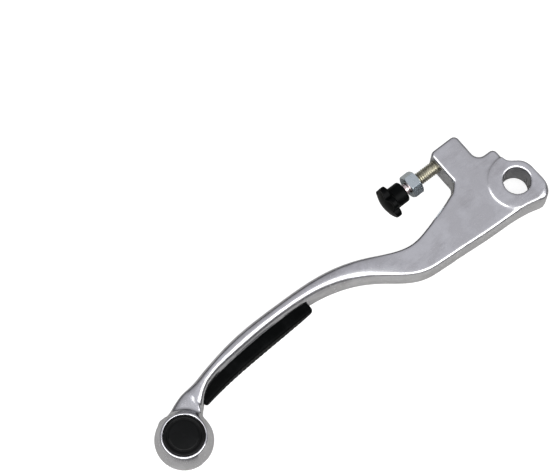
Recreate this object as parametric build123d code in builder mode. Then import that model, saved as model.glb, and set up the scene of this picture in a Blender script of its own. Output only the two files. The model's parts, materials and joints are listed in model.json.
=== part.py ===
"""Front-brake lever of an off-road motorcycle, with a reach adjuster. Millimetres, +Z up.

Origin: centre of the pivot bore, at half the plate's thickness. +Z runs along the pivot axis,
+X points from the pivot to the ball end and +Y away from the handlebar, to the finger side.
"""
import os

from build123d import *

# ---- Lever body: pivot eye, arm and tab ----
PLATE_HALF = 6.7        # half thickness of the arm and the tab
PLATE_EDGE = 1.5        # rounding of the plate's long edges
BORE_RADIUS = 6.0       # pivot bore
BORE_CHAMFER = 0.6
BOSS_RADIUS = 12.6      # raised bearing face around the bore, both sides
BOSS_RISE = 0.5
BOSS_INSET = 0.4        # how far the boss keeps inside the eye's outline
EYE_REACH = 9.8         # from the bore's centre to the eye's outer side
ARM_END = 40.0          # where the flat arm passes into the blade
ARM_BACK = -8.8         # the arm's handlebar side there
ARM_FRONT = 9.0         # the arm's finger side there
STEP_END = -18.0        # where the eye's underside steps to the tab, along Y
STEP_OUTER = 2.4        # rounding of that step's outer corner
STEP_INNER = 4.0        # and of its inner one

# ---- Adjuster: tab, stud, nut and knob ----
TAB_INNER = 7.1         # the tab's two faces, along X
TAB_THICK = 14.6
TAB_END = -33.2         # the tab's free end, along Y
TAB_CORNER = 2.4
SCREW_Y = -28.5         # the stud's axis, parallel to X
THREAD_RADIUS = 2.95    # outside of an M6 thread
THREAD_GAP = 0.05       # running clearance of the thread, all round
THREAD_MOUTH = 0.5      # countersink of the threaded holes, and the stud's tip
TIP_PROUD = -0.5        # how far the stud's free end stands out of the tab
NUT_STAND = 10.5        # bare thread between the tab and the nut
NUT_HEIGHT = 5.2
NUT_FLATS = 10.0        # across flats
NUT_CORNER_CUT = 0.5    # how far the corners are turned off at each face
NECK_RADIUS = 2.45      # plain neck between the thread and the knob
NECK_SHOW = 2.2         # how much of the neck is bare
SOCKET_DEPTH = 5.5      # depth of the hub's bore, which the neck fills
SOCKET_GAP = 0.05       # clearance of the neck in the hub, all round
HUB_RADIUS = 4.9
HUB_LENGTH = 6.6
HUB_EDGE = 1.0
FLANGE_THICK = 2.4      # the flange at a lobe's tip
LOBE_COUNT = 5
LOBE_REACH = 7.9        # from the knob's axis to the tip of a lobe
LOBE_RADIUS = 2.8
LOBE_TURN = -13.0       # direction of the first lobe, degrees from +Y towards +Z
WEB_RADIUS = 6.2        # the flange between the lobes
DOME_RISE = 2.4         # how far the knob's face bulges

# ---- Blade and ball end ----
BALL_X = 182.0
BALL_RADIUS = 12.6
BALL_FLAT = 8.3         # height of the ball's two flats above mid-plane
RIM_EDGE = 0.3
CAP_RADIUS = 8.8
CAP_SEAT = 2.4          # depth of the recess
CAP_LIP = 0.25          # how far the plug's rim stands proud of the flat
CAP_DOME = 0.45         # how far its centre rises above its rim
GROOVE_RADIUS = 6.9     # ring groove around the plug's centre
GROOVE_HALF = 0.35      # half its width, and its depth
# The blade's two sides seen from above: share of the way from the arm to the ball, and place along Y.
BLADE_BACK = [(0, ARM_BACK), (0.10, -6.2), (0.24, -14.2), (0.36, -19.5), (0.56, -21.2), (0.74, -19.9),
              (0.90, -15.7), (1.04, -10.7)]
BLADE_FRONT = [(0, ARM_FRONT), (0.13, 6.7), (0.24, -3.7), (0.37, -12.3), (0.58, -14.8), (0.78, -13.0),
               (0.86, -10.3), (0.905, -4.6), (0.95, 0), (1.04, 1.0)]
BLADE_STOP = 1.04       # share at which the blade has died away inside the ball
BLADE_HALF = 8.0        # half height of the blade along its straight stretch
BLADE_EDGE = 2.4        # rounding of its long edges there
NECK_HALF = 5.0         # half height and rounding where it ends inside the ball
NECK_EDGE = 4.2
STATIONS = 27           # sections from the arm to the ball
SEAM_STEP = 0.05        # the blade's root is this much smaller than the arm, all round
ROUND_LIMIT = 0.46      # largest rounding of a section, as a share of its width

# ---- Grip pad ----
PAD_START = 0.453       # the pad's two ends, as shares of the way along the blade
PAD_END = 0.880
PAD_HALF = 4.8          # its half height in the middle
PAD_TIP = 2.8           # and at its ends
PAD_TIP_ROUND = 2.2     # rounding of its four corners
PAD_SUNK = 0.8          # how deep it is let into the blade
PAD_EDGE = 1.2          # rounding of its front edges
# Its front seen from above: share of the way along the pad, and place along Y.
PAD_FRONT = [(0, -11.2), (0.35, -10.3), (0.7, -9.1), (1, -6.5)]

# ---- Places that follow from these ----
BLADE_LENGTH = BALL_X - ARM_END
TAB_OUTER = TAB_INNER + TAB_THICK
SCREW_TIP = TAB_INNER - TIP_PROUD
NUT_INNER = TAB_OUTER + NUT_STAND
THREAD_END = NUT_INNER + NUT_HEIGHT
HUB_START = THREAD_END + NECK_SHOW
FLANGE_START = HUB_START + HUB_LENGTH
HOLE_RADIUS = THREAD_RADIUS + THREAD_GAP
NUT_CORNER = NUT_FLATS / 3**0.5
NUT_CUT_LENGTH = NUT_CORNER_CUT / 3**0.5
DOME_RADIUS = (LOBE_REACH**2 + DOME_RISE**2) / (2 * DOME_RISE)


def ease(value, start, end):
    """Rise smoothly from 0 at start to 1 at end."""
    step = min(max((value - start) / (end - start), 0), 1)
    return step * step * (3 - 2 * step)


def blade_x(share):
    """Place along X of a share of the way along the blade."""
    return ARM_END + share * BLADE_LENGTH


def pad_x(share):
    """Place along X of a share of the way along the grip pad."""
    return blade_x(PAD_START + share * (PAD_END - PAD_START))


def side_curve(points, slope):
    """Smooth curve through a side's points, leaving the arm with the given slope."""
    places = [(blade_x(share), y) for share, y in points]
    return Spline(*places, tangents=[(1, slope), (1, 0.3)], mode=Mode.PRIVATE)


def side_at(curve, x):
    """Place along Y of a curve that runs along +X, found by halving."""
    low, high = 0.0, 1.0
    for _ in range(30):
        middle = (low + high) / 2
        if (curve @ middle).X < x:
            low = middle
        else:
            high = middle
    return (curve @ low).Y


def across(x):
    """Plane square to the stud at a place along X: its own x is +Y and its own y is +Z."""
    return Plane(origin=(x, SCREW_Y, 0), x_dir=(0, 1, 0), z_dir=(1, 0, 0))


os.makedirs("parts", exist_ok=True)
blade_back = side_curve(BLADE_BACK, 0.28)
blade_front = side_curve(BLADE_FRONT, -0.08)

# ---- Outline of the eye, the arm and the tab, seen from above ----
with BuildSketch() as outline:
    with BuildLine():
        front = Spline((ARM_END, ARM_FRONT), (22, 10.4), (5, 11.6), tangents=[(-1, 0.08), (-1, 0.15)])
        corner = Spline(front @ 1, (-0.8, 12.8), (-5.2, 13.6), (-8.8, 10.9), (-EYE_REACH, 0),
                        tangents=[(-1, 0.15), (0, -1)])
        waist = Spline(corner @ 1, (-7.4, -6.6), (-3.0, -10.0), (-2.0, -14.5),
                       tangents=[(0, -1), (0.05, -1)])
        tab = Polyline(waist @ 1, (-2.0, STEP_END), (TAB_INNER, STEP_END), (TAB_INNER, TAB_END),
                       (TAB_OUTER, TAB_END), (TAB_OUTER, -17.0), (TAB_OUTER + 3.5, -13.6))
        back = Spline(tab @ 1, (32, -11.0), (ARM_END, ARM_BACK), tangents=[(1, 0.45), (1, 0.28)])
        Line(back @ 1, front @ 0)
    make_face()
    tab_corners = outline.vertices().filter_by_position(Axis.Y, TAB_END - 0.1, TAB_END + 0.1)
    fillet(tab_corners, TAB_CORNER)
    step_corners = outline.vertices().filter_by_position(Axis.Y, STEP_END - 0.1, STEP_END + 0.1)
    fillet(step_corners.sort_by(Axis.X)[0], STEP_OUTER)
    step_corners = outline.vertices().filter_by_position(Axis.Y, STEP_END - 0.1, STEP_END + 0.1)
    fillet(step_corners.sort_by(Axis.X)[-1], STEP_INNER)

# ---- Grip pad: follows the blade's finger side, seen from above, and is an oval seen from the front ----
with BuildPart() as pad_blank:
    with BuildSketch(Plane.XY.offset(-PAD_HALF)):
        with BuildLine():
            seat = [pad_x(step / 6) for step in range(7)]
            pad_inner = Spline(*[(x, side_at(blade_front, x) - PAD_SUNK) for x in seat])
            pad_outer = Spline(*[(pad_x(share), y) for share, y in PAD_FRONT])
            Line(pad_inner @ 0, pad_outer @ 0)
            Line(pad_inner @ 1, pad_outer @ 1)
        make_face()
    extrude(amount=2 * PAD_HALF)
    with BuildSketch(Plane.XZ) as oval:
        with BuildLine():
            start, end = pad_x(0), pad_x(1)
            ThreePointArc((start, PAD_TIP), ((start + end) / 2, PAD_HALF), (end, PAD_TIP))
            ThreePointArc((start, -PAD_TIP), ((start + end) / 2, -PAD_HALF), (end, -PAD_TIP))
            Line((start, PAD_TIP), (start, -PAD_TIP))
            Line((end, PAD_TIP), (end, -PAD_TIP))
        make_face()
        fillet(oval.vertices(), PAD_TIP_ROUND)
    extrude(amount=2 * BALL_RADIUS, both=True, mode=Mode.INTERSECT)

with BuildPart() as grip_pad:
    add(pad_blank.part)
    fillet(grip_pad.faces().sort_by(Axis.Y)[-1].edges(), PAD_EDGE)

# ---- Blade: a row of upright rounded sections ----
with BuildPart() as blade:
    for station in range(STATIONS):
        share = BLADE_STOP * station / (STATIONS - 1)
        back_y = side_at(blade_back, blade_x(share))
        front_y = side_at(blade_front, blade_x(share))
        full = ease(share, 0.15, 0.42)
        neck = ease(share, 0.9, BLADE_STOP)
        half_height = PLATE_HALF + full * (BLADE_HALF - PLATE_HALF) + neck * (NECK_HALF - BLADE_HALF)
        rounding = PLATE_EDGE + full * (BLADE_EDGE - PLATE_EDGE) + neck * (NECK_EDGE - BLADE_EDGE)
        if station == 0:
            back_y, front_y, half_height = back_y + SEAM_STEP, front_y - SEAM_STEP, half_height - SEAM_STEP
        width = front_y - back_y
        with BuildSketch(Plane.YZ.offset(blade_x(share))):
            with Locations(((back_y + front_y) / 2, 0)):
                RectangleRounded(width, 2 * half_height, min(rounding, ROUND_LIMIT * width))
    loft()
    add(pad_blank.part, mode=Mode.SUBTRACT)

# ---- Ball end: a ball with two flats ----
with BuildPart() as ball:
    with Locations((BALL_X, 0, 0)):
        Sphere(BALL_RADIUS)
        Box(4 * BALL_RADIUS, 4 * BALL_RADIUS, 2 * BALL_FLAT, mode=Mode.INTERSECT)

# ---- Lever body: one casting ----
with BuildPart() as lever_body:
    with BuildSketch(Plane.XY.offset(-PLATE_HALF)):
        add(outline.sketch)
    extrude(amount=2 * PLATE_HALF)
    rims = lever_body.faces().filter_by(Axis.Z).edges()
    fillet([edge for edge in rims if edge.center().X < ARM_END - 0.1], PLATE_EDGE)
    add(blade.part)
    add(ball.part)
    with BuildSketch(Plane.XY.offset(-PLATE_HALF - BOSS_RISE)) as boss:
        add(outline.sketch)
        scale(by=1 - BOSS_INSET / EYE_REACH)
        Circle(BOSS_RADIUS, mode=Mode.INTERSECT)
    extrude(amount=2 * (PLATE_HALF + BOSS_RISE))
    # Pivot bore, with both mouths chamfered.
    with BuildSketch(Plane.XY.offset(-PLATE_HALF - BOSS_RISE)):
        Circle(BORE_RADIUS)
    extrude(amount=2 * (PLATE_HALF + BOSS_RISE), mode=Mode.SUBTRACT)
    bore_mouths = lever_body.edges().filter_by(GeomType.CIRCLE)
    chamfer([edge for edge in bore_mouths if abs(edge.radius - BORE_RADIUS) < 0.01], BORE_CHAMFER)
    # Threaded hole through the tab.
    with BuildSketch(across(TAB_INNER)):
        Circle(HOLE_RADIUS)
    extrude(amount=TAB_THICK, mode=Mode.SUBTRACT)
    tab_mouths = lever_body.edges().filter_by(GeomType.CIRCLE)
    chamfer([edge for edge in tab_mouths if abs(edge.radius - HOLE_RADIUS) < 0.01], THREAD_MOUTH)
    # Recesses for the plugs.
    for side in (1, -1):
        with BuildSketch(Plane.XY.offset(side * (BALL_FLAT - CAP_SEAT))):
            with Locations((BALL_X, 0)):
                Circle(CAP_RADIUS)
        extrude(amount=side * CAP_SEAT, mode=Mode.SUBTRACT)
    recess_rims = lever_body.edges().filter_by(GeomType.CIRCLE)
    chamfer([edge for edge in recess_rims if abs(edge.radius - CAP_RADIUS) < 0.01
             and abs(edge.center().Z) > BALL_FLAT - 0.1], RIM_EDGE)

# ---- Stud: thread, plain neck ----
with BuildPart() as adjuster_screw:
    with BuildSketch(across(SCREW_TIP)):
        Circle(THREAD_RADIUS)
    extrude(amount=THREAD_END - SCREW_TIP)
    chamfer(adjuster_screw.edges().sort_by(Axis.X)[0], THREAD_MOUTH)
    with BuildSketch(across(THREAD_END)):
        Circle(NECK_RADIUS)
    extrude(amount=NECK_SHOW + SOCKET_DEPTH - SOCKET_GAP)

# ---- Lock nut: a hexagon with turned corners ----
with BuildPart() as lock_nut:
    with BuildSketch(across(NUT_INNER)):
        RegularPolygon(NUT_FLATS / 2, 6, major_radius=False)
    extrude(amount=NUT_HEIGHT)
    with BuildSketch(Plane.XY.offset(0), mode=Mode.PRIVATE) as nut_profile:
        with BuildLine():
            Polyline((NUT_INNER, SCREW_Y), (NUT_INNER, SCREW_Y + NUT_CORNER - NUT_CORNER_CUT),
                     (NUT_INNER + NUT_CUT_LENGTH, SCREW_Y + NUT_CORNER),
                     (THREAD_END - NUT_CUT_LENGTH, SCREW_Y + NUT_CORNER),
                     (THREAD_END, SCREW_Y + NUT_CORNER - NUT_CORNER_CUT), (THREAD_END, SCREW_Y), close=True)
        make_face()
    revolve(nut_profile.sketch, axis=Axis((0, SCREW_Y, 0), (1, 0, 0)), mode=Mode.INTERSECT)
    with BuildSketch(across(NUT_INNER)):
        Circle(HOLE_RADIUS)
    extrude(amount=NUT_HEIGHT, mode=Mode.SUBTRACT)
    nut_mouths = lock_nut.edges().filter_by(GeomType.CIRCLE)
    chamfer([edge for edge in nut_mouths if abs(edge.radius - HOLE_RADIUS) < 0.01], THREAD_MOUTH)

# ---- Knob: a hub and a domed flange with lobes ----
with BuildPart() as adjuster_knob:
    with BuildSketch(across(FLANGE_START)):
        Circle(WEB_RADIUS)
        with PolarLocations(LOBE_REACH - LOBE_RADIUS, LOBE_COUNT, start_angle=LOBE_TURN):
            Circle(LOBE_RADIUS)
    extrude(amount=FLANGE_THICK + DOME_RISE)
    with Locations((FLANGE_START + FLANGE_THICK + DOME_RISE - DOME_RADIUS, SCREW_Y, 0)):
        Sphere(DOME_RADIUS, mode=Mode.INTERSECT)
    with BuildSketch(across(HUB_START)):
        Circle(HUB_RADIUS)
    extrude(amount=HUB_LENGTH)
    fillet(adjuster_knob.edges().sort_by(Axis.X)[0], HUB_EDGE)
    with BuildSketch(across(HUB_START)):
        Circle(NECK_RADIUS + SOCKET_GAP)
    extrude(amount=SOCKET_DEPTH, mode=Mode.SUBTRACT)


def end_plug(side):
    """Black plug in one of the ball's recesses: side is 1 for the upper one and -1 for the lower."""
    rim = side * (BALL_FLAT + CAP_LIP)
    floor = side * (BALL_FLAT - CAP_SEAT)
    groove_in, groove_out = GROOVE_RADIUS - GROOVE_HALF, GROOVE_RADIUS + GROOVE_HALF
    groove_floor = rim - side * GROOVE_HALF
    with BuildPart() as plug:
        with BuildSketch(Plane.XZ) as profile:
            with BuildLine():
                Polyline((BALL_X, rim + side * CAP_DOME), (BALL_X, floor), (BALL_X + CAP_RADIUS, floor),
                         (BALL_X + CAP_RADIUS, rim), (BALL_X + groove_out, rim),
                         (BALL_X + groove_out, groove_floor), (BALL_X + groove_in, groove_floor),
                         (BALL_X + groove_in, rim))
                TangentArc((BALL_X, rim + side * CAP_DOME), (BALL_X + groove_in, rim), tangent=(1, 0))
            make_face()
        revolve(axis=Axis((BALL_X, 0, 0), (0, 0, 1)))
    return plug.part


pieces = {
    "lever_body": lever_body.part,
    "grip_pad": grip_pad.part,
    "end_cap_upper": end_plug(1),
    "end_cap_lower": end_plug(-1),
    "adjuster_screw": adjuster_screw.part,
    "lock_nut": lock_nut.part,
    "adjuster_knob": adjuster_knob.part,
}
for name, piece in pieces.items():
    piece.label = name
    export_step(piece, f"parts/{name}.step")
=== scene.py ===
"""Looks of a motorcycle front brake lever: casting, finger pad, reach adjuster, nut, knob and plugs.

Metres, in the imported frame: origin at the pivot bore's centre, +X to the ball end, +Y to the
finger side, +Z up along the pivot axis.
"""
from __future__ import annotations

import json
import logging
import math
from collections.abc import Callable, Sequence
from dataclasses import dataclass
from enum import Enum

import bmesh
import bpy
import numpy as np
from mathutils import Matrix, Vector
from mathutils.bvhtree import BVHTree

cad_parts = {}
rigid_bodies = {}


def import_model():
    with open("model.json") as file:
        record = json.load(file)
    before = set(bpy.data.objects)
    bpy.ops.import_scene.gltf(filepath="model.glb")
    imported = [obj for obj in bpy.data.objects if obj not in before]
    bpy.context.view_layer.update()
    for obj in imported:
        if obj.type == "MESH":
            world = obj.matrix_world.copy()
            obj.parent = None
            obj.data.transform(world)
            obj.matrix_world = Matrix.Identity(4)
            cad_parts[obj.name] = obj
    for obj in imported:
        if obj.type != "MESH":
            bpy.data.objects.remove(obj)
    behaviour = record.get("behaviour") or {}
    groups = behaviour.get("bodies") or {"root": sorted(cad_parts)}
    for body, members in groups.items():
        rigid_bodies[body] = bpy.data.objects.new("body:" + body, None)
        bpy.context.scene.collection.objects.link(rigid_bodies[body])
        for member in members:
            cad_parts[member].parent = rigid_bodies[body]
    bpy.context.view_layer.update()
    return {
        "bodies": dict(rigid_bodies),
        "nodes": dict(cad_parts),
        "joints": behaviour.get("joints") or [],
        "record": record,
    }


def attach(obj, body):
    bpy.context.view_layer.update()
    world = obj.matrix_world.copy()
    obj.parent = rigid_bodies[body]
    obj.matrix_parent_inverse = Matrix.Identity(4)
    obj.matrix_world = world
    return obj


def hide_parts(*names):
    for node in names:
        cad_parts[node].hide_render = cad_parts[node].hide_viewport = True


LOG = logging.getLogger("lever")
MM = 0.001

Ring = list[Vector]


# ---------------------------------------------------------------- node maths

class Wire:
    """One output socket of a node tree, with Python's operators as Math nodes."""

    def __init__(self, graph: "Graph", socket: bpy.types.NodeSocket) -> None:
        """Wrap a socket.

        Args:
            graph: the tree the socket is in.
            socket: the output socket.
        """
        self.graph = graph
        self.socket = socket

    def _math(self, operation: str, *values: "Wire | float") -> "Wire":
        """Add one Math node.

        Args:
            operation: the Math node's operation.
            values: its inputs, in order.

        Returns:
            The node's result.
        """
        return self.graph.node("ShaderNodeMath", {"operation": operation}, dict(enumerate(values)))

    def __add__(self, other: "Wire | float") -> "Wire":
        """Sum."""
        return self._math("ADD", self, other)

    __radd__ = __add__

    def __sub__(self, other: "Wire | float") -> "Wire":
        """Difference."""
        return self._math("SUBTRACT", self, other)

    def __rsub__(self, other: float) -> "Wire":
        """Difference, with this wire taken away."""
        return self._math("SUBTRACT", other, self)

    def __mul__(self, other: "Wire | float") -> "Wire":
        """Product."""
        return self._math("MULTIPLY", self, other)

    __rmul__ = __mul__

    def __truediv__(self, other: "Wire | float") -> "Wire":
        """Quotient."""
        return self._math("DIVIDE", self, other)

    def power(self, exponent: float) -> "Wire":
        """This wire raised to a power."""
        return self._math("POWER", self, exponent)

    def sine(self) -> "Wire":
        """Sine of this wire, in radians."""
        return self._math("SINE", self)

    def above(self, floor: float) -> "Wire":
        """The larger of this wire and a number."""
        return self._math("MAXIMUM", self, floor)

    def step(self, low: float, high: float) -> "Wire":
        """Smooth step from 0 at low to 1 at high.

        Args:
            low: value where the step starts.
            high: value where it is complete.

        Returns:
            The step, 0 to 1.
        """
        return self.graph.node("ShaderNodeMapRange", {"interpolation_type": "SMOOTHSTEP"},
                               {"Value": self, "From Min": low, "From Max": high})


class Graph:
    """A node tree with one way to add any node."""

    def __init__(self, tree: bpy.types.NodeTree) -> None:
        """Take over a tree.

        Args:
            tree: the node tree that is added to.
        """
        self.tree = tree

    def node(self, kind: str, settings: dict | None = None, inputs: dict | None = None,
             output: int | str = 0) -> Wire:
        """Add a node: its settings first, then the values or links of its sockets.

        Args:
            kind: the node's type.
            settings: the node's own properties; "stops" gives a ramp's places and colours.
            inputs: values or wires by the socket's name or number.
            output: which output is returned.

        Returns:
            The chosen output.
        """
        node = self.tree.nodes.new(kind)
        for key, value in (settings or {}).items():
            if key == "stops":
                ramp = node.color_ramp
                while len(ramp.elements) < len(value):
                    ramp.elements.new(1.0)
                for element, (place, colour) in zip(ramp.elements, value):
                    element.position = place
                    element.color = (*colour, 1.0)
            else:
                setattr(node, key, value)
        for key, value in (inputs or {}).items():
            if isinstance(value, Wire):
                self.tree.links.new(value.socket, node.inputs[key])
            else:
                node.inputs[key].default_value = value
        if isinstance(output, str):
            return Wire(self, node.outputs[output])
        enabled = [socket for socket in node.outputs if socket.enabled]
        return Wire(self, (enabled or list(node.outputs) or [None])[output])

    def noise(self, scale: float, detail: float = 3.0, rough: float = 0.55,
              stretch: tuple[float, float, float] = (1, 1, 1)) -> Wire:
        """Noise on Object coordinates.

        Args:
            scale: cells per metre.
            detail: octaves.
            rough: share of the finer octaves.
            stretch: how much the pattern is squeezed along each axis.

        Returns:
            The noise, about 0.3 to 0.7.
        """
        place = self.node("ShaderNodeTexCoord", output="Object")
        mapped = self.node("ShaderNodeMapping", {}, {"Vector": place, "Scale": stretch})
        return self.node("ShaderNodeTexNoise", {},
                         {"Vector": mapped, "Scale": scale, "Detail": detail, "Roughness": rough})

    def mix(self, amount: Wire, first: Wire | tuple, second: Wire | tuple) -> Wire:
        """Mix two colours.

        Args:
            amount: 0 for the first, 1 for the second.
            first: colour or wire.
            second: colour or wire.

        Returns:
            The mixed colour.
        """
        return self.node("ShaderNodeMix", {"data_type": "RGBA"}, {0: amount, 6: first, 7: second})


def rgba(colour: Sequence[float]) -> tuple[float, float, float, float]:
    """Colour with full alpha.

    Args:
        colour: red, green and blue.

    Returns:
        The colour with an alpha of 1.
    """
    return (colour[0], colour[1], colour[2], 1.0)


# ---------------------------------------------------------------- finishes

@dataclass(frozen=True)
class Finish:
    """A surface finish: a Principled shader whose colour, roughness and relief vary."""

    name: str

    def paint(self, graph: Graph) -> dict:
        """Sockets of the Principled shader; each finish gives its own.

        Args:
            graph: the material's tree.

        Returns:
            Values or wires by socket name.
        """
        raise NotImplementedError

    def material(self) -> bpy.types.Material:
        """Build the material once and reuse it.

        Returns:
            The material.
        """
        found = bpy.data.materials.get(self.name)
        if found:
            return found
        made = bpy.data.materials.new(self.name)
        made.use_nodes = True
        made.node_tree.nodes.clear()
        graph = Graph(made.node_tree)
        shader = graph.node("ShaderNodeBsdfPrincipled", {}, self.paint(graph))
        graph.node("ShaderNodeOutputMaterial", {}, {"Surface": shader})
        return made


def relief(graph: Graph, height: Wire, distance: float, strength: float = 1.0) -> Wire:
    """Bump from a height.

    Args:
        graph: the material's tree.
        height: height, 0 to 1.
        distance: real height of 1, in metres.
        strength: how strongly it shows.

    Returns:
        The bumped normal.
    """
    return graph.node("ShaderNodeBump", {},
                      {"Height": height, "Distance": distance, "Strength": strength})


@dataclass(frozen=True)
class CastAluminium(Finish):
    """Tumbled and polished aluminium casting: satin, faintly uneven, with pits, worn edges that also
    carry a painted highlight, and painted shade in the hollows.
    """

    clean: tuple[float, float, float] = (0.70, 0.70, 0.73)
    dull: tuple[float, float, float] = (0.54, 0.535, 0.555)
    # colour of the painted shade in the concave places
    grime: tuple[float, float, float] = (0.33, 0.325, 0.33)
    rough: float = 0.235
    spread: float = 0.16

    def paint(self, graph: Graph) -> dict:
        """Sockets of the satin casting.

        Args:
            graph: the material's tree.

        Returns:
            Values or wires by socket name.
        """
        cloud = graph.noise(95, 4, 0.6)
        grain = graph.noise(2600, 3, 0.6)
        streak = graph.noise(900, 3, 0.55, stretch=(0.12, 1, 1))
        pits = graph.noise(1500, 2, 0.5).step(0.70, 0.76)
        smear = graph.noise(210, 4, 0.65, stretch=(0.35, 1, 1))
        point = graph.node("ShaderNodeNewGeometry", output="Pointiness")
        edge = point.step(0.53, 0.60)
        hollow = 1 - point.step(0.42, 0.49)
        dull = cloud.step(0.36, 0.64) * 0.6 + smear.step(0.45, 0.70) * 0.5 + pits * 0.8
        # convex edges kept near the clean colour: polish wear, and also a painted edge highlight
        dull = dull * (1 - edge * 0.8)
        colour = graph.mix(dull, rgba(self.clean), rgba(self.dull))
        # painted shade: concave places (low pointiness) are darkened towards this colour, in patches
        colour = graph.mix(hollow * smear.step(0.30, 0.62) * 0.8, colour, rgba(self.grime))
        rough = cloud * self.spread + smear * 0.10 + streak * 0.07 + grain * 0.05
        rough = rough + pits * 0.2 - edge * 0.06
        height = grain * 0.30 + streak * 0.35 + cloud * 1.2 + smear * 0.6 - pits * 0.8
        return {
            "Base Color": colour,
            "Metallic": 1.0,
            "Roughness": rough + (self.rough - self.spread / 2 - 0.11),
            "Normal": relief(graph, height, 0.00005, 0.20),
        }


class PlateTint(Enum):
    """Passivation colour of zinc-plated steel."""

    CLEAR_BLUE = ((0.60, 0.66, 0.70), (0.50, 0.57, 0.60))
    YELLOW = ((0.52, 0.50, 0.42), (0.27, 0.255, 0.20))
    BARE = ((0.78, 0.66, 0.66), (0.60, 0.48, 0.48))


@dataclass(frozen=True)
class ZincPlate(Finish):
    """Zinc-plated turned steel: a bright coat with a faint tint, random dirt patches, and painted shade
    in the low places.
    """

    tint: PlateTint = PlateTint.CLEAR_BLUE
    rough: float = 0.26

    def paint(self, graph: Graph) -> dict:
        """Sockets of the plated steel.

        Args:
            graph: the material's tree.

        Returns:
            Values or wires by socket name.
        """
        bright, dark = self.tint.value
        cloud = graph.noise(420, 3)
        grain = graph.noise(5200, 2, 0.6)
        turned = graph.noise(2400, 2, 0.5, stretch=(1, 0.08, 0.08))
        hollow = 1 - graph.node("ShaderNodeNewGeometry", output="Pointiness").step(0.40, 0.52)
        # random dirt patches plus painted shade in the concave places, both towards the dark tint
        dirt_and_hollow_shade = cloud.step(0.42, 0.66) * 0.5 + hollow * 0.6
        return {
            "Base Color": graph.mix(dirt_and_hollow_shade, rgba(bright), rgba(dark)),
            "Metallic": 1.0,
            "Roughness": self.rough - 0.1 + cloud * 0.12 + turned * 0.08 + hollow * 0.15,
            "Normal": relief(graph, grain * 0.5 + turned * 0.7, 0.00003, 0.35),
        }


@dataclass(frozen=True)
class MouldedBlack(Finish):
    """Black moulded rubber or plastic with a fine spark-eroded grain and rubbed patches."""

    base: tuple[float, float, float] = (0.0008, 0.0010, 0.0010)
    rubbed: tuple[float, float, float] = (0.004, 0.0043, 0.0045)
    rough: float = 0.46
    grain: float = 3400
    depth: float = 0.00005
    specular: float = 0.32

    def paint(self, graph: Graph) -> dict:
        """Sockets of the black moulding.

        Args:
            graph: the material's tree.

        Returns:
            Values or wires by socket name.
        """
        cloud = graph.noise(130, 4, 0.6)
        grain = graph.noise(self.grain, 2, 0.5)
        dust = graph.noise(1900, 2, 0.5).step(0.66, 0.74)
        edge = graph.node("ShaderNodeNewGeometry", output="Pointiness").step(0.52, 0.60)
        worn = cloud.step(0.45, 0.7) * 0.5 + edge * 0.35 + dust * 0.6
        return {
            "Base Color": graph.mix(worn, rgba(self.base), rgba(self.rubbed)),
            "Roughness": self.rough - 0.09 + cloud * 0.14 + grain * 0.08 - edge * 0.08 + dust * 0.1,
            "Specular IOR Level": self.specular,
            "Normal": relief(graph, grain * 0.7 + cloud * 0.3, self.depth, 0.4),
        }


CASTING = CastAluminium("satin_casting")
STUD_PLATE = ZincPlate("yellow_zinc", PlateTint.YELLOW, 0.34)
NECK_STEEL = ZincPlate("bare_neck", PlateTint.BARE, 0.22)
NUT_PLATE = ZincPlate("blue_zinc", PlateTint.CLEAR_BLUE, 0.24)
PAD_RUBBER = MouldedBlack("pad_rubber_black", rough=0.44, grain=2600, depth=0.00006, specular=0.035)
KNOB_PLASTIC = MouldedBlack("knob_black", rough=0.30, specular=0.06)
PLUG_PLASTIC = MouldedBlack("plug_black", rough=0.15, grain=4200, depth=0.00003, specular=0.19)


# ---------------------------------------------------------------- mesh helpers

def finish_mesh(mesh: bpy.types.Mesh, sharp: float) -> None:
    """Shade smooth, with edges sharper than an angle kept crisp.

    Args:
        mesh: the mesh.
        sharp: that angle in degrees.
    """
    mesh.polygons.foreach_set("use_smooth", [True] * len(mesh.polygons))
    mesh.set_sharp_from_angle(angle=math.radians(sharp))
    mesh.update()


def add_object(name: str, mesh: bpy.types.Mesh, *finishes: Finish) -> bpy.types.Object:
    """Make an object at the origin.

    Args:
        name: its name.
        mesh: its mesh, in place.
        finishes: its material slots, in order.

    Returns:
        The new object.
    """
    for made in finishes:
        mesh.materials.append(made.material())
    obj = bpy.data.objects.new(name, mesh)
    bpy.context.scene.collection.objects.link(obj)
    return obj


def skin(name: str, rings: Sequence[Ring], closed: bool = False,
         slot_of: Callable[[int], int] = lambda ring: 0) -> bpy.types.Mesh:
    """Skin a row of rings with quads; an open row is closed with a pole at each end.

    Args:
        name: the mesh's name.
        rings: rings with the same number of points.
        closed: whether the last ring joins the first.
        slot_of: material slot of the faces after a ring.

    Returns:
        The mesh, with its faces outwards.
    """
    work = bmesh.new()
    rows = [[work.verts.new(point) for point in ring] for ring in rings]
    count = len(rings[0])
    pairs = list(zip(rows, rows[1:])) + ([(rows[-1], rows[0])] if closed else [])
    for index, (low, high) in enumerate(pairs):
        for i in range(count):
            j = (i + 1) % count
            face = work.faces.new((low[i], low[j], high[j], high[i]))
            face.material_index = slot_of(index)
    if not closed:
        for row, ring, index in ((rows[0], rings[0], 0), (rows[-1], rings[-1], len(rings) - 1)):
            pole = work.verts.new(sum(ring, Vector()) / count)
            for i in range(count):
                face = work.faces.new((row[i], row[(i + 1) % count], pole))
                face.material_index = slot_of(index)
    bmesh.ops.recalc_face_normals(work, faces=work.faces)
    mesh = bpy.data.meshes.new(name)
    work.to_mesh(mesh)
    work.free()
    return mesh


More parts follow.
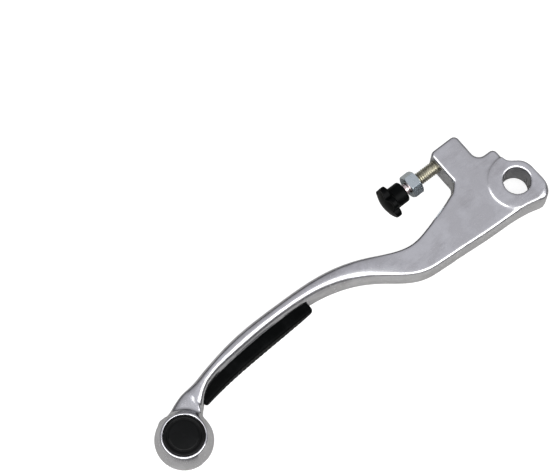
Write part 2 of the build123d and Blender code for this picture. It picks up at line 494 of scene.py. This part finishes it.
def rounded(profile: Sequence[tuple[float, float, float]], steps: int = 5) -> list[tuple[float, float]]:
    """Round the corners of an open profile.

    Args:
        profile: points as two coordinates and the corner's radius; 0 leaves it sharp.
        steps: points on each rounded corner.

    Returns:
        The profile's points.
    """
    points: list[tuple[float, float]] = []
    for i, (a, b, radius) in enumerate(profile):
        here = Vector((a, b))
        if radius <= 0 or i in (0, len(profile) - 1):
            points.append((a, b))
            continue
        before = Vector(profile[i - 1][:2]) - here
        after = Vector(profile[i + 1][:2]) - here
        reach = min(radius, before.length * 0.48, after.length * 0.48)
        start = here + before.normalized() * reach
        end = here + after.normalized() * reach
        for k in range(steps + 1):
            t = k / steps
            point = start * (1 - t) ** 2 + here * 2 * t * (1 - t) + end * t * t
            points.append((point.x, point.y))
    return points


def around_x(place: float, radius: float, axis_y: float, turn: float) -> Vector:
    """Point around an axis parallel to X.

    Args:
        place: along X, millimetres.
        radius: from the axis.
        axis_y: the axis's place along Y.
        turn: angle from +Y towards +Z, in radians.

    Returns:
        The point in metres.
    """
    return Vector((place, axis_y + radius * math.cos(turn), radius * math.sin(turn))) * MM


def take_copy(node: bpy.types.Object, name: str) -> bpy.types.Mesh:
    """Copy a CAD node's mesh with its loose triangles merged.

    Args:
        node: the CAD object.
        name: the new mesh's name.

    Returns:
        The merged copy.
    """
    mesh = node.data.copy()
    mesh.name = name
    mesh.materials.clear()
    work = bmesh.new()
    work.from_mesh(mesh)
    bmesh.ops.remove_doubles(work, verts=work.verts, dist=1e-6)
    work.to_mesh(mesh)
    work.free()
    return mesh


def plain_mesh(obj: bpy.types.Object) -> None:
    """Turn an object's evaluated result into its own mesh and drop its modifiers.

    Args:
        obj: the object.
    """
    graph = bpy.context.evaluated_depsgraph_get()
    made = bpy.data.meshes.new_from_object(obj.evaluated_get(graph))
    obj.modifiers.clear()
    obj.data = made


def vertex_places(mesh: bpy.types.Mesh) -> np.ndarray:
    """Places of a mesh's vertices.

    Args:
        mesh: the mesh.

    Returns:
        One row for each vertex, in metres.
    """
    places = np.empty(len(mesh.vertices) * 3)
    mesh.vertices.foreach_get("co", places)
    return places.reshape(-1, 3)


def smooth_step(value: np.ndarray, low: float, high: float) -> np.ndarray:
    """Smooth step from 0 at low to 1 at high.

    Args:
        value: the values.
        low: value where the step starts.
        high: value where it is complete.

    Returns:
        The step for each value, 0 to 1.
    """
    part = np.clip((value - low) / (high - low), 0, 1)
    return part * part * (3 - 2 * part)


def relax(mesh: bpy.types.Mesh, places: np.ndarray, rounds: int, weight: np.ndarray) -> np.ndarray:
    """Even out vertices by moving each towards the middle of its neighbours.

    Args:
        mesh: the mesh, whose edges are used.
        places: the vertices' places.
        rounds: how often.
        weight: how far each vertex moves, 0 to 1.

    Returns:
        The relaxed places.
    """
    ends = np.empty(len(mesh.edges) * 2, dtype=np.int64)
    mesh.edges.foreach_get("vertices", ends)
    first, second = ends.reshape(-1, 2).T
    count = np.bincount(ends, minlength=len(places))[:, None]
    for _ in range(rounds):
        sums = [np.bincount(first, places[second, k], len(places))
                + np.bincount(second, places[first, k], len(places)) for k in range(3)]
        total = np.stack(sums, axis=1)
        places = places + (total / count - places) * 0.5 * weight[:, None]
    return places


@dataclass(frozen=True)
class NodeInput:
    """A named input of a Geometry Nodes tree."""

    name: str
    kind: str
    value: float | int


def node_modifier(obj: bpy.types.Object, name: str, inputs: Sequence[NodeInput],
                  build: Callable[[Graph, dict[str, Wire], Wire], Wire], finish: Finish | None) -> None:
    """Run a Geometry Nodes tree on an object and keep the result as a plain mesh.

    Args:
        obj: the object, whose mesh enters the tree.
        name: the tree's name.
        inputs: the tree's named inputs with their values.
        build: makes the nodes from the graph, the inputs and the object's own geometry.
        finish: finish of the made faces, or None to keep the mesh's own.
    """
    tree = bpy.data.node_groups.new(name, "GeometryNodeTree")
    tree.interface.new_socket(name="Geometry", in_out="INPUT", socket_type="NodeSocketGeometry")
    sockets = {item.name: tree.interface.new_socket(name=item.name, in_out="INPUT",
                                                    socket_type=item.kind) for item in inputs}
    tree.interface.new_socket(name="Geometry", in_out="OUTPUT", socket_type="NodeSocketGeometry")
    graph = Graph(tree)
    entry = tree.nodes.new("NodeGroupInput")
    wires = {item.name: Wire(graph, entry.outputs[item.name]) for item in inputs}
    made = build(graph, wires, Wire(graph, entry.outputs["Geometry"]))
    made = graph.node("GeometryNodeRealizeInstances", {}, {"Geometry": made})
    if finish is not None:
        made = graph.node("GeometryNodeSetMaterial", {},
                          {"Geometry": made, "Material": finish.material()})
    leave = tree.nodes.new("NodeGroupOutput")
    tree.links.new(made.socket, leave.inputs["Geometry"])
    modifier = obj.modifiers.new(name, "NODES")
    modifier.node_group = tree
    for item in inputs:
        modifier[sockets[item.name].identifier] = item.value
    plain_mesh(obj)


# ---------------------------------------------------------------- the casting

@dataclass
class LeverCasting:
    """The lever's body: one satin casting with softened edges and a crowned blade.

    Sizes are in millimetres. A zone is where a smooth step starts and ends.
    """

    voxel: float = 0.44
    sharp: float = 75.0
    even_rounds: int = 1
    neck_rounds: int = 26
    neck_from: tuple[float, float] = (158.0, 168.0)
    neck_to: tuple[float, float] = (173.5, 178.0)
    eye_rounds: int = 9
    eye_ring: tuple[float, float, float, float] = (8.2, 9.4, 16.0, 20.0)
    eye_front: tuple[float, float] = (5.5, 8.0)
    eye_end: tuple[float, float] = (3.5, 6.0)
    corner: tuple[float, float] = (23.6, -15.4)
    corner_zone: tuple[float, float] = (1.5, 5.5)
    corner_rounds: int = 34
    rim_span: tuple[float, float] = (84.0, 168.0)
    rim_zone: tuple[float, float] = (0.9, 2.0)
    rim_rounds: int = 10
    ball_x: float = 182.0
    ball_zone: tuple[float, float] = (9.7, 12.6)
    crown_from: tuple[float, float] = (56.0, 84.0)
    crown_front: float = 1.9
    crown_back: float = 1.3
    dip_from: tuple[float, float] = (148.0, 169.0)
    dip: float = 2.1
    half_height: float = 8.0
    core_height: float = 4.0
    outline_span: tuple[float, float, float] = (40.0, 190.0, 1.5)
    node: str = "lever_body"
    body: str = "lever"

    def build(self, frame: dict) -> bpy.types.Object:
        """Remesh the casting's copy evenly, soften it, and crown its blade.


        Returns:
            The casting.
        """
        casting = add_object("casting", take_copy(frame["nodes"][self.node], "casting"))
        remesh = casting.modifiers.new("even", "REMESH")
        remesh.mode = "VOXEL"
        remesh.voxel_size = self.voxel * MM
        plain_mesh(casting)
        mesh = casting.data
        places = vertex_places(mesh) / MM
        x = places[:, 0]
        near_neck = smooth_step(x, *self.neck_from) * (1 - smooth_step(x, *self.neck_to))
        places = relax(mesh, places, self.even_rounds, np.ones(len(x)))
        places = relax(mesh, places, self.neck_rounds, near_neck)
        places = relax(mesh, places, self.eye_rounds, self.eye_edge(places))
        from_corner = np.hypot(x - self.corner[0], places[:, 1] - self.corner[1])
        near_corner = 1 - smooth_step(from_corner, *self.corner_zone)
        places = relax(mesh, places, self.corner_rounds, near_corner)
        near_rim = self.pocket_rim(places, frame["nodes"]["grip_pad"])
        places = relax(mesh, places, self.rim_rounds, near_rim)
        mesh.vertices.foreach_set("co", (self.crown(places) * MM).ravel())
        mesh.materials.append(CASTING.material())
        finish_mesh(mesh, self.sharp)
        return self.dress(casting)

    def pocket_rim(self, places: np.ndarray, pad: bpy.types.Object) -> np.ndarray:
        """How much the rim of the pad's pocket is melted, for each vertex.

        Args:
            places: the vertices' places.
            pad: the CAD pad.

        Returns:
            The weights, 0 to 1.
        """
        tree = BVHTree.FromObject(pad, bpy.context.evaluated_depsgraph_get())
        away = np.full(len(places), self.rim_zone[1])
        x = places[:, 0]
        for index in np.flatnonzero((x > self.rim_span[0]) & (x < self.rim_span[1])):
            away[index] = tree.find_nearest(Vector(places[index]) * MM)[3] / MM
        return 1 - smooth_step(away, *self.rim_zone)

    def eye_edge(self, places: np.ndarray) -> np.ndarray:
        """How much the eye's outer edges are melted together, for each vertex.

        Args:
            places: the vertices' places.

        Returns:
            The weights, 0 to 1.
        """
        x, y, _ = places.T
        out = np.hypot(x, y)
        ring = smooth_step(out, *self.eye_ring[:2]) * (1 - smooth_step(out, *self.eye_ring[2:]))
        return ring * np.maximum(smooth_step(y, *self.eye_front), smooth_step(-x, *self.eye_end))

    def crown(self, places: np.ndarray) -> np.ndarray:
        """Bow the blade's upper and lower faces down towards its sides.

        Args:
            places: the vertices' places.

        Returns:
            Their new places.
        """
        x, y, z = places.T
        bins = np.arange(*self.outline_span)
        width = self.outline_span[2]
        in_core = np.abs(z) < self.core_height
        low, high = [], []
        for start in bins:
            here = y[in_core & (x >= start) & (x < start + width)]
            low.append(here.min())
            high.append(here.max())
        middles = bins + width / 2
        low, high = np.interp(x, middles, low), np.interp(x, middles, high)
        side = np.clip((y - (low + high) / 2) / ((high - low) / 2), -1, 1)
        drop = np.where(side > 0, self.crown_front, self.crown_back) * side * side
        drop = drop * smooth_step(x, *self.crown_from) + self.dip * smooth_step(x, *self.dip_from)
        off_ball = smooth_step(np.hypot(x - self.ball_x, y), *self.ball_zone)
        drop = drop * np.where(x < self.ball_x, off_ball, 0)
        return np.stack([x, y, z * (1 - drop / self.half_height)], axis=1)

    def dress(self, casting: bpy.types.Object) -> bpy.types.Object:
        """Args:
            casting: the new piece.

        Returns:
            The same piece.
        """
        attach(casting, self.body)
        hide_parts(self.node)
        return casting


# ---------------------------------------------------------------- the finger pad

@dataclass
class FingerPad:
    """Rubber insert on the finger side, with shallow grooves across it."""

    voxel: float = 0.26 * MM
    smooth_rounds: int = 6
    sharp: float = 60.0
    groove_pitch: float = 2.4 * MM
    groove_depth: float = 0.13 * MM
    grooves_from: float = 112.0 * MM
    grooves_to: float = 156.0 * MM
    flatten: float = 0.80
    lengthen: float = 0.9 * MM
    swell: float = 0.8 * MM
    outline_places: int = 41
    outline_reach: float = 1.2 * MM
    node: str = "grip_pad"

    def build(self, frame: dict) -> bpy.types.Object:
        """Remesh and soften the pad, then press the grooves into its face.


        Returns:
            The pad.
        """
        mesh = take_copy(frame["nodes"][self.node], "finger_pad")
        pad = add_object("finger_pad", mesh)
        remesh = pad.modifiers.new("even", "REMESH")
        remesh.mode = "VOXEL"
        remesh.voxel_size = self.voxel
        remesh.use_smooth_shade = True
        soften = pad.modifiers.new("soften", "SMOOTH")
        soften.factor = 0.5
        soften.iterations = self.smooth_rounds
        plain_mesh(pad)
        pad.data.vertices.foreach_set("co", self.fill_out(vertex_places(pad.data)).ravel())
        inputs = (NodeInput("Pitch", "NodeSocketFloat", self.groove_pitch),
                  NodeInput("Depth", "NodeSocketFloat", self.groove_depth),
                  NodeInput("From", "NodeSocketFloat", self.grooves_from),
                  NodeInput("To", "NodeSocketFloat", self.grooves_to))
        node_modifier(pad, "pad_grooves", inputs, self.grooves, PAD_RUBBER)
        finish_mesh(pad.data, self.sharp)
        return self.dress(pad)

    def fill_out(self, places: np.ndarray) -> np.ndarray:
        """Flatten the pad a little, lengthen it, and swell its front.

        Args:
            places: the vertices' places.

        Returns:
            Their new places.
        """
        x, y, z = places.T
        start, end = x.min(), x.max()
        bins = np.linspace(start, end, self.outline_places)
        near = [y[np.abs(x - place) < self.outline_reach] for place in bins]
        low = np.interp(x, bins, [here.min() for here in near])
        high = np.interp(x, bins, [here.max() for here in near])
        front = (y - low) / (high - low)
        along = (x - start) / (end - start)
        return np.stack([x + self.lengthen * along, y + self.swell * front, z * self.flatten],
                        axis=1)

    @staticmethod
    def grooves(graph: Graph, wires: dict[str, Wire], geometry: Wire) -> Wire:
        """Nodes that sink evenly spaced grooves into the faces that look to the fingers.

        Args:
            graph: the tree.
            wires: its named inputs.
            geometry: the pad.

        Returns:
            The grooved pad.
        """
        place = graph.node("GeometryNodeInputPosition")
        normal = graph.node("GeometryNodeInputNormal")
        x = graph.node("ShaderNodeSeparateXYZ", {}, {0: place}, output="X")
        faces_out = graph.node("ShaderNodeSeparateXYZ", {}, {0: normal}, output="Y").step(0.55, 0.85)
        wave = ((x - wires["From"]) / wires["Pitch"] * (2 * math.pi)).sine().above(0).power(2.0)
        begin = ((x - wires["From"]) * 1000).step(-1.0, 1.5)
        end = ((wires["To"] - x) * 1000).step(-1.0, 1.5)
        sink = wave * faces_out * begin * end * wires["Depth"] * -1
        offset = graph.node("ShaderNodeVectorMath", {"operation": "SCALE"}, {0: normal, "Scale": sink})
        return graph.node("GeometryNodeSetPosition", {}, {"Geometry": geometry, "Offset": offset})

    def dress(self, pad: bpy.types.Object) -> bpy.types.Object:
        """Args:
            pad: the new piece.

        Returns:
            The same piece.
        """
        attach(pad, "lever")
        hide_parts(self.node)
        return pad


# ---------------------------------------------------------------- the reach adjuster

@dataclass
class ReachAdjuster:
    """Stud with a rolled thread and plain neck, its lock nut and its lobed knob.

    Sizes are in millimetres, angles in degrees.
    """

    axis_y: float = -28.5
    tip: float = 7.6
    nut_start: float = 32.2
    thread_end: float = 37.4
    hub_start: float = 39.6
    flange_start: float = 46.2
    thread_radius: float = 2.93
    thread_depth: float = 0.46
    pitch: float = 1.0
    neck_radius: float = 2.4
    neck_stop: float = 45.0
    stud_points: int = 64
    stud_sharp: float = 40.0
    nut_flats: float = 9.96
    nut_bore: float = 3.0
    nut_mouth: float = 0.5
    nut_cut: float = 0.62
    nut_cut_slope: float = 1.15
    nut_points: int = 144
    nut_sharp: float = 26.0
    hub_radius: float = 4.85
    socket_radius: float = 2.52
    socket_depth: float = 5.4
    flange_thick: float = 2.3
    lobes: int = 5
    lobe_reach: float = 7.85
    lobe_turn: float = -13.0
    lobe_centre: float = 5.1
    lobe_blend: float = 9.0
    web_radius: float = 5.7
    dome_rise: float = 2.35
    flange_edge: float = 0.8
    knob_points: int = 180
    knob_sharp: float = 50.0

    def turns(self, count: int) -> list[float]:
        """Even angles around the axis.

        Args:
            count: how many.

        Returns:
            The angles in radians.
        """
        return [2 * math.pi * i / count for i in range(count)]

    def ring(self, place: float, radius: float, count: int) -> Ring:
        """Round ring about the stud's axis.

        Args:
            place: along X.
            radius: its radius.
            count: points on it.

        Returns:
            The ring in metres.
        """
        return [around_x(place, radius, self.axis_y, turn) for turn in self.turns(count)]

    def build_stud(self) -> bpy.types.Object:
        """Turn the stud's core and neck, then roll the thread on it.

        Returns:
            The stud.
        """
        root = self.thread_radius - self.thread_depth * self.pitch
        profile = rounded([(self.tip, 0.6, 0), (self.tip, root - 0.35, 0.3),
                           (self.tip + 0.5, root, 0.2), (self.thread_end - 0.35, root, 0.2),
                           (self.thread_end, self.neck_radius, 0.1),
                           (self.neck_stop - 0.3, self.neck_radius, 0.2), (self.neck_stop, 2.0, 0)])
        rings = [self.ring(x, radius, self.stud_points) for x, radius in profile]
        bare_from = self.thread_end - 0.2
        mesh = skin("stud", rings, slot_of=lambda i: int(profile[i][0] > bare_from))
        stud = add_object("stud", mesh, STUD_PLATE, NECK_STEEL)
        inputs = (NodeInput("Pitch", "NodeSocketFloat", self.pitch * MM),
                  NodeInput("Turns", "NodeSocketFloat",
                            (self.thread_end - self.tip - 1.5) / self.pitch),
                  NodeInput("Crest", "NodeSocketFloat", self.thread_radius * MM),
                  NodeInput("Start", "NodeSocketFloat", (self.tip + 0.75) * MM),
                  NodeInput("Axis", "NodeSocketFloat", self.axis_y * MM))
        node_modifier(stud, "rolled_thread", inputs, self.thread, None)
        finish_mesh(stud.data, self.stud_sharp)
        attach(stud, "stud")
        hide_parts("adjuster_screw")
        return stud

    @staticmethod
    def thread(graph: Graph, wires: dict[str, Wire], geometry: Wire) -> Wire:
        """Nodes that sweep a ridge along a helix and join it to the core.

        Args:
            graph: the tree.
            wires: its named inputs.
            geometry: the stud's core.

        Returns:
            Core and ridge together.
        """
        half = wires["Pitch"] * 0.5
        middle = wires["Crest"] - half
        helix = graph.node("GeometryNodeCurveSpiral", {},
                           {"Resolution": 40, "Rotations": wires["Turns"], "Start Radius": middle,
                            "End Radius": middle, "Height": wires["Turns"] * wires["Pitch"]})
        helix = graph.node("GeometryNodeSetCurveNormal", {"mode": "Z_UP"}, {"Curve": helix})
        ridge = graph.node("GeometryNodeCurvePrimitiveCircle", {"mode": "RADIUS"},
                           {"Resolution": 4, "Radius": half})
        swept = graph.node("GeometryNodeCurveToMesh", {},
                           {"Curve": helix, "Profile Curve": ridge, "Fill Caps": True})
        shift = graph.node("ShaderNodeCombineXYZ", {}, {"X": wires["Start"], "Y": wires["Axis"]})
        turned = graph.node("GeometryNodeTransform", {},
                            {"Geometry": swept, "Translation": shift, "Rotation": (0, math.pi / 2, 0)})
        turned = graph.node("GeometryNodeSetMaterial", {},
                            {"Geometry": turned, "Material": STUD_PLATE.material()})
        joined = graph.tree.nodes.new("GeometryNodeJoinGeometry")
        graph.tree.links.new(turned.socket, joined.inputs[0])
        graph.tree.links.new(geometry.socket, joined.inputs[0])
        return Wire(graph, joined.outputs[0])

    def hexagon(self, turn: float, limit: float) -> float:
        """Radius of the hexagon in a direction, its corners turned off at a limit.

        Args:
            turn: direction in radians; the flats look up and down.
            limit: largest radius here.

        Returns:
            The radius.
        """
        off = (turn - math.pi / 2 + math.pi / 6) % (math.pi / 3) - math.pi / 6
        return min(self.nut_flats / 2 / math.cos(off), limit)

    def build_nut(self) -> bpy.types.Object:
        """Make the lock nut: flats, turned corners and a countersunk bore.

        Returns:
            The nut.
        """
        height = self.thread_end - self.nut_start
        corner = self.nut_flats / math.sqrt(3)
        cut = corner - self.nut_cut
        lip, lip_step, lip_rise = 0.06, 0.1, 0.16
        layers = [(deep, cut - lip_step + lip_rise * deep / lip) for deep in (0.0, 0.02)]
        layers += [(deep, min(cut + deep * self.nut_cut_slope, corner - 0.05))
                   for deep in (lip, 0.12, 0.2, 0.3, 0.42, 0.56, 0.72)]
        layers += [(height - deep, limit) for deep, limit in reversed(layers)]
        count = self.nut_points
        rings = [[around_x(self.nut_start + x, self.hexagon(turn, limit), self.axis_y, turn)
                  for turn in self.turns(count)] for x, limit in layers]
        mouth, bore = self.nut_bore + self.nut_mouth, self.nut_bore
        end = self.nut_start + height
        inner = [(0, mouth + 0.6), (0, mouth + 0.02), (0.04, mouth), (self.nut_mouth, bore)]
        rings += [self.ring(end - deep, radius, count) for deep, radius in inner]
        rings += [self.ring(self.nut_start + deep, radius, count) for deep, radius in reversed(inner)]
        mesh = skin("lock_nut_hex", rings, closed=True)
        finish_mesh(mesh, self.nut_sharp)
        nut = add_object("lock_nut_hex", mesh, NUT_PLATE)
        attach(nut, "nut")
        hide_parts("lock_nut")
        return nut

    def lobed(self, turn: float) -> float:
        """Radius of the knob's flange in a direction.

        Args:
            turn: direction in radians.

        Returns:
            The radius.
        """
        lobe, width = self.lobe_centre, self.lobe_reach - self.lobe_centre
        sector = 2 * math.pi / self.lobes
        off = abs((turn - math.radians(self.lobe_turn) + sector / 2) % sector - sector / 2)
        inside = width ** 2 - (lobe * math.sin(off)) ** 2
        tip = lobe * math.cos(off) + math.sqrt(inside) if inside > 0 else 0.0
        blend = self.lobe_blend
        return (tip ** blend + self.web_radius ** blend) ** (1 / blend) if tip else self.web_radius

    def build_knob(self) -> bpy.types.Object:
        """Make the knob: a round hub, a lobed flange with a soft edge, and a domed face.

        Returns:
            The knob.
        """
        turns = self.turns(self.knob_points)
        start, flange = self.hub_start, self.flange_start
        edge = self.flange_edge
        back = rounded([(start + self.socket_depth, 0.4, 0),
                        (start + self.socket_depth, self.socket_radius, 0.2),
                        (start, self.socket_radius, 0.25), (start, self.hub_radius, 1.1),
                        (flange, self.hub_radius, 0.7), (flange, self.hub_radius + 0.9, 0)], 6)
        rings = [self.ring(x, radius, self.knob_points) for x, radius in back]
        reach = [min(self.lobed(turn), self.lobe_reach - 0.02) for turn in turns]
        sphere = (self.lobe_reach ** 2 + self.dome_rise ** 2) / (2 * self.dome_rise)
        top = flange + self.flange_thick + self.dome_rise

        def dome(radius: float) -> float:
            """Place of the domed face along X.

            Args:
                radius: distance from the knob's axis.

            Returns:
                The place.
            """
            return top - sphere + math.sqrt(sphere ** 2 - radius ** 2)

        for share in (0.25, 0.5, 0.75, 1.0):
            rings.append([around_x(flange, (self.hub_radius + 0.9) * (1 - share)
                                   + (r - edge) * share, self.axis_y, turn)
                          for turn, r in zip(turns, reach)])
        for k in range(1, 7):
            bend = k / 6 * math.pi / 2
            rings.append([around_x(flange + edge * (1 - math.cos(bend)),
                                   r - edge + edge * math.sin(bend), self.axis_y, turn)
                          for turn, r in zip(turns, reach)])
        for k in range(7):
            bend = k / 6 * math.pi / 2
            fall = edge * (1 - math.sin(bend)) * 0.9 * (1 - k / 12)
            rings.append([around_x(dome(r - edge) - fall, r - edge + edge * math.cos(bend),
                                   self.axis_y, turn)
                          for turn, r in zip(turns, reach)])
        for share in (0.9, 0.78, 0.64, 0.5, 0.36, 0.22, 0.1):
            rings.append([around_x(dome((r - edge) * share), (r - edge) * share, self.axis_y, turn)
                          for turn, r in zip(turns, reach)])
        mesh = skin("knob", rings)
        finish_mesh(mesh, self.knob_sharp)
        knob = add_object("knob", mesh, KNOB_PLASTIC)
        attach(knob, "knob")
        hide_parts("adjuster_knob")
        return knob


# ---------------------------------------------------------------- the plugs

class Side(Enum):
    """Which face of the ball end."""

    UPPER = 1
    LOWER = -1


@dataclass
class BallPlug:
    """Black plug with a raised rim, a ring groove and a shallow domed centre, in millimetres."""

    side: Side = Side.UPPER
    centre_x: float = 182.0
    radius: float = 8.75
    seat: float = 5.95
    rim: float = 8.54
    dome: float = 0.44
    groove_in: float = 6.35
    groove_out: float = 7.35
    groove_deep: float = 0.6
    slant: float = 0.08
    points: int = 96
    sharp: float = 50.0

    def build(self) -> bpy.types.Object:
        """Turn the plug about the ball's upright axis.

        Returns:
            The plug.
        """
        peak = self.rim + self.dome
        sphere = (self.groove_in ** 2 + self.dome ** 2) / (2 * self.dome)
        domed = [(r, peak - sphere + math.sqrt(sphere ** 2 - r ** 2), 0.0)
                 for r in (0.3, 1, 2, 3, 4, 5, 5.9)]
        bottom = self.rim - self.groove_deep
        profile = domed + [(self.groove_in, self.rim, 0.3),
                           (self.groove_in + self.slant, bottom, 0.12),
                           (self.groove_out - self.slant, bottom, 0.12),
                           (self.groove_out, self.rim, 0.45), (self.radius, self.rim, 0.45),
                           (self.radius, self.seat, 0.1), (0.5, self.seat, 0)]
        turns = [2 * math.pi * i / self.points for i in range(self.points)]
        rings = [[Vector((self.centre_x + r * math.cos(turn), r * math.sin(turn),
                          z * self.side.value)) * MM for turn in turns]
                 for r, z in rounded(profile, 4)]
        side = self.side.name.lower()
        mesh = skin(f"plug_{side}", rings)
        finish_mesh(mesh, self.sharp)
        plug = add_object(f"plug_{side}", mesh, PLUG_PLASTIC)
        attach(plug, "lever")
        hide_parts(f"end_cap_{side}")
        return plug


# ---------------------------------------------------------------- the studio

@dataclass
class Studio:
    """Plain pale floor, soft light and the camera."""

    floor_z: float = -9.02 * MM
    camera_place: tuple[float, float, float] = (0.31347, 0.20726, 0.97212)
    camera_view: tuple[float, float, float] = (-0.21165, -0.24739, -0.94552)
    camera_up: tuple[float, float, float] = (-0.58777, -0.74072, 0.32537)
    lens: float = 156.5
    bright_strip: tuple[float, float, float] = (-0.004, 0.055, 0.13)
    glow_towards: tuple[float, float, float] = (0.40, 0.56, 0.72)
    floor_reach: float = 6.0
    light_bearings: tuple[float, ...] = (112.0, 54.0, -4.0)
    light_elevation: float = 48.0
    light_distance: float = 1.6
    light_size: tuple[float, float] = (1.45, 1.35)
    light_power: float = 14.0
    light_target: tuple[float, float, float] = (0.09, -0.01, 0.0)

    def set_camera(self) -> None:
        """Place the camera and make it the scene's."""
        data = bpy.data.cameras.new("camera")
        data.lens = self.lens
        data.clip_start, data.clip_end = 0.05, 20
        camera = bpy.data.objects.new("camera", data)
        bpy.context.scene.collection.objects.link(camera)
        view, up = Vector(self.camera_view).normalized(), Vector(self.camera_up).normalized()
        turn = Matrix((view.cross(up), up, -view)).transposed()
        camera.matrix_world = Matrix.Translation(self.camera_place) @ turn.to_4x4()
        bpy.context.scene.camera = camera

    def lay_floor(self) -> None:
        """Lay a wide floor: white where it is seen, a grey strip in dark where it is reflected."""
        mesh = bpy.data.meshes.new("floor")
        reach = self.floor_reach
        around = ((-reach, -reach), (reach, -reach), (reach, reach), (-reach, reach))
        mesh.from_pydata([(x, y, self.floor_z) for x, y in around], [], [(0, 1, 2, 3)])
        floor = bpy.data.objects.new("floor", mesh)
        bpy.context.scene.collection.objects.link(floor)
        material = bpy.data.materials.new("pale_floor")
        material.use_nodes = True
        material.node_tree.nodes.clear()
        graph = Graph(material.node_tree)
        seen = graph.node("ShaderNodeLightPath", output="Is Camera Ray")
        lit = graph.node("ShaderNodeBsdfDiffuse", {}, {"Color": (0.38, 0.38, 0.38, 1)})
        glow = graph.node("ShaderNodeEmission", {}, {"Color": (1, 1, 1, 1), "Strength": 0.8})
        bright = graph.node("ShaderNodeAddShader", {}, {0: lit, 1: glow})
        place = graph.node("ShaderNodeTexCoord", output="Object")
        aside = graph.node("ShaderNodeSeparateXYZ", {}, {0: place}, output="Y")
        aside = aside - self.bright_strip[0]
        aside = graph.node("ShaderNodeMath", {"operation": "ABSOLUTE"}, {0: aside})
        far = aside.step(*self.bright_strip[1:])
        strip = graph.mix(far, (0.33, 0.328, 0.315, 1), (0.03, 0.03, 0.035, 1))
        quiet = graph.node("ShaderNodeBsdfDiffuse", {}, {"Color": strip})
        shader = graph.node("ShaderNodeMixShader", {}, {0: seen, 1: quiet, 2: bright})
        graph.node("ShaderNodeOutputMaterial", {}, {"Surface": shader})
        mesh.materials.append(material)

    def hang_sky(self) -> None:
        """Grey surroundings, dark towards the front horizon, with a wide soft glow."""
        world = bpy.data.worlds.new("room")
        world.use_nodes = True
        world.node_tree.nodes.clear()
        graph = Graph(world.node_tree)
        towards = graph.node("ShaderNodeTexCoord", output="Generated")
        height = graph.node("ShaderNodeSeparateXYZ", {}, {0: towards}, output="Z")
        front = [(0.0, (0.01, 0.01, 0.012)), (0.30, (0.015, 0.015, 0.02)), (0.5, (0.45, 0.45, 0.47)),
                 (1.0, (0.60, 0.60, 0.635))]
        back = [(0.0, (0.09, 0.09, 0.10)), (0.20, (0.15, 0.15, 0.16)), (0.55, (0.48, 0.48, 0.50)),
                (1.0, (0.60, 0.60, 0.635))]
        front_sky = graph.node("ShaderNodeValToRGB", {"stops": front}, {"Fac": height.above(0)})
        back_sky = graph.node("ShaderNodeValToRGB", {"stops": back}, {"Fac": height.above(0)})
        facing = graph.node("ShaderNodeVectorMath", {"operation": "DOT_PRODUCT"},
                            {0: towards, 1: self.glow_towards}, output="Value")
        glow = facing.above(0).power(4.0) * 1.1
        even = graph.mix(facing.step(-0.2, 0.3), back_sky, front_sky)
        colour = graph.mix(glow, even, (1.0, 1.0, 1.0, 1))
        sky = graph.node("ShaderNodeBackground", {}, {"Color": colour, "Strength": 1.0})
        graph.node("ShaderNodeOutputWorld", {}, {"Surface": sky})
        bpy.context.scene.world = world

    def hang_light(self, name: str, bearing: float) -> None:
        """Hang one soft rectangular light that faces the object.

        Args:
            name: its name.
            bearing: its direction in the plane, degrees from +X towards +Y.
        """
        data = bpy.data.lights.new(name, "AREA")
        data.shape = "RECTANGLE"
        data.size, data.size_y = self.light_size
        data.energy = self.light_power
        light = bpy.data.objects.new(name, data)
        around, up = math.radians(bearing), math.radians(self.light_elevation)
        back = Vector((math.cos(around) * math.cos(up), math.sin(around) * math.cos(up),
                       math.sin(up)))
        light.location = Vector(self.light_target) + back * self.light_distance
        light.rotation_euler = back.to_track_quat("Z", "Y").to_euler()
        bpy.context.scene.collection.objects.link(light)

    def build(self) -> None:
        """Set up the whole studio."""
        self.set_camera()
        self.lay_floor()
        self.hang_sky()
        for number, bearing in enumerate(self.light_bearings, 1):
            self.hang_light(f"softbox_{number}", bearing)
        settings = bpy.context.scene.view_settings
        settings.view_transform = "Standard"
        settings.look = "None"


def main() -> None:
    """Load the frame, build each piece in order, and log each piece's face count."""
    logging.basicConfig(level=logging.INFO, format="%(name)s: %(message)s")
    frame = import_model()
    Studio().build()
    adjuster = ReachAdjuster()
    pieces = [
        LeverCasting().build(frame),
        FingerPad().build(frame),
        adjuster.build_stud(),
        adjuster.build_nut(),
        adjuster.build_knob(),
        BallPlug(Side.UPPER).build(),
        BallPlug(Side.LOWER).build(),
    ]
    for piece in pieces:
        LOG.info("%s: %d faces", piece.name, len(piece.data.polygons))


if __name__ == "__main__":
    main()
